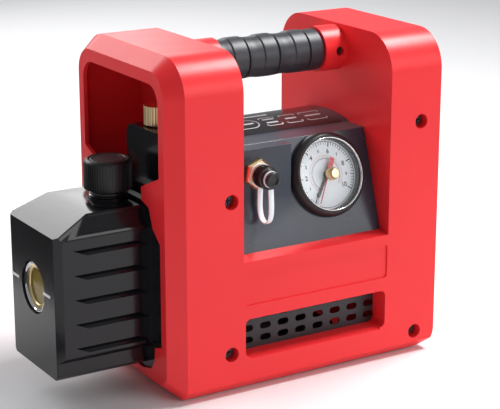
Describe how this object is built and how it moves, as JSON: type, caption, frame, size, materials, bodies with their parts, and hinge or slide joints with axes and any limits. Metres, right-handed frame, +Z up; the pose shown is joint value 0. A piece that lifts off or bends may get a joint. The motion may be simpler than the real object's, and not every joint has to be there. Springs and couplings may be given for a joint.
{
  "type": "rotary vane vacuum pump",
  "caption": "Portable rotary vane vacuum pump: motor and oil-filled pump in a carrying housing with handle, vacuum gauge, capped inlet port and oil casing.",
  "frame": {"origin": "middle of the footprint's bounding box, on the ground plane under the rubber feet", "axes": "+X along the motor shaft from the oil casing to the fan, -Y towards the front with the gauge, +Z up"},
  "size_m": [0.316, 0.156, 0.25],
  "materials": {
    "red_plastic": "satin moulded ABS",
    "dark_steel": "black oxide",
    "rubber": "matt",
    "zinc_steel": "zinc plated",
    "console_plastic": "satin moulded plastic",
    "grille_steel": "black coated perforated sheet",
    "black_plastic": "satin moulded plastic",
    "dial_white": "printed matt white",
    "lens_clear": "clear polycarbonate",
    "pointer_black": "matt",
    "pointer_red": "matt",
    "copper": "drawn tube",
    "brass": "machined",
    "seal_rubber": "matt",
    "strap_white": "translucent nylon",
    "black_cast": "gloss black enamel on cast aluminium",
    "gasket_brown": "fibre",
    "polished_steel": "polished",
    "oil_glass": "glass with oil behind",
    "fibre": "felt",
    "cast_grey": "as cast",
    "aluminium": "machined",
    "graphite": "graphite composite",
    "orange_rubber": "matt",
    "winding_enamel": "enamelled wire",
    "red_rocker": "gloss"
  },
  "bodies": {
    "housing": {"front_shell": "red_plastic", "rear_shell": "red_plastic", "shell_screws": "dark_steel", "rubber_feet": "rubber", "handle_grip": "rubber", "handle_core": "zinc_steel", "handle_screws": "dark_steel", "console_cover": "console_plastic", "vent_grille": "grille_steel", "fan_cover": "black_plastic", "gauge_case": "black_plastic", "gauge_bezel": "black_plastic", "gauge_dial": "dial_white", "gauge_lens": "lens_clear", "gauge_pipe": "copper", "inlet_port": "brass", "inlet_nut": "brass", "inlet_manifold": "brass", "cap_strap": "strap_white", "suction_tube": "copper", "oil_casing": "black_cast", "casing_gasket": "gasket_brown", "casing_screws": "zinc_steel", "sight_ring": "polished_steel", "sight_glass": "oil_glass", "sight_seal": "seal_rubber", "oil_mist_filter": "fibre", "drain_plug": "brass", "pump_bracket": "cast_grey", "intake_block": "black_cast", "stage_cylinders": "cast_grey", "pump_plates": "aluminium", "pump_screws": "zinc_steel", "exhaust_valve": "zinc_steel", "shaft_seal": "seal_rubber", "motor_frame": "cast_grey", "motor_bells": "aluminium", "motor_stator": "zinc_steel", "motor_windings": "winding_enamel", "motor_bearings": "polished_steel", "motor_base": "dark_steel", "rubber_mounts": "rubber", "run_capacitor": "aluminium", "switch_frame": "black_plastic", "power_socket": "black_plastic"},
    "rotor_unit": {"pump_rotor": "zinc_steel", "vanes": "graphite", "vane_springs": "zinc_steel", "shaft_coupling": "aluminium", "coupling_spider": "orange_rubber", "motor_rotor": "zinc_steel", "fan": "black_plastic"},
    "gauge_pointer": {"gauge_pointer": "pointer_black"},
    "gauge_set_hand": {"gauge_set_hand": "pointer_red"},
    "inlet_cap_seal": {"cap_seal": "seal_rubber"},
    "inlet_cap": {"inlet_cap": "black_plastic"},
    "filler_seal": {"filler_seal": "seal_rubber"},
    "filler_cap": {"filler_cap": "black_plastic"},
    "ballast_knob": {"ballast_knob": "brass"},
    "switch_rocker": {"switch_rocker": "red_rocker"}
  },
  "joints": [
    {"name": "rotor_spin", "type": "hinge", "parent": "housing", "child": "rotor_unit", "pos_m": [0, 0, 0.083], "axis": [1, 0, 0], "continuous": true},
    {"name": "pointer_turn", "type": "hinge", "parent": "housing", "child": "gauge_pointer", "pos_m": [0.0591, -0.04999, 0.1468], "axis": [0, -0.9532, 0.3024], "range_deg": [-270, 0], "stiffness_Nm_per_rad": 0.00002},
    {"name": "set_hand_turn", "type": "hinge", "parent": "housing", "child": "gauge_set_hand", "pos_m": [0.0591, -0.04999, 0.1468], "axis": [0, -0.9532, 0.3024], "continuous": true},
    {"name": "inlet_cap_lift", "type": "slide", "parent": "housing", "child": "inlet_cap_seal", "axis": [0, -1, 0], "range_m": [0, 0.0052], "deforming": ["cap_strap"]},
    {"name": "inlet_cap_turn", "type": "hinge", "parent": "inlet_cap_seal", "child": "inlet_cap", "pos_m": [-0.0041, -0.0539, 0.1577], "axis": [0, -1, 0], "range_deg": [0, 1440]},
    {"name": "filler_cap_lift", "type": "slide", "parent": "housing", "child": "filler_seal", "axis": [0, 0, 1], "range_m": [0, 0.006]},
    {"name": "filler_cap_turn", "type": "hinge", "parent": "filler_seal", "child": "filler_cap", "pos_m": [-0.0966, 0, 0.148], "axis": [0, 0, 1], "range_deg": [0, 720]},
    {"name": "ballast_turn", "type": "hinge", "parent": "housing", "child": "ballast_knob", "pos_m": [-0.05795, -0.004, 0.19], "axis": [0, 0, 1], "range_deg": [0, 270]},
    {"name": "switch_rock", "type": "hinge", "parent": "housing", "child": "switch_rocker", "pos_m": [0.0025, 0.07039, 0.077], "axis": [1, 0, 0], "range_deg": [-16, 0]}
  ],
  "couplings": [
    {"joint": "inlet_cap_turn", "follows": "inlet_cap_lift", "rad_per_m": 4833.2},
    {"joint": "filler_cap_lift", "follows": "filler_cap_turn", "m_per_rad": 0.00047746}
  ]
}
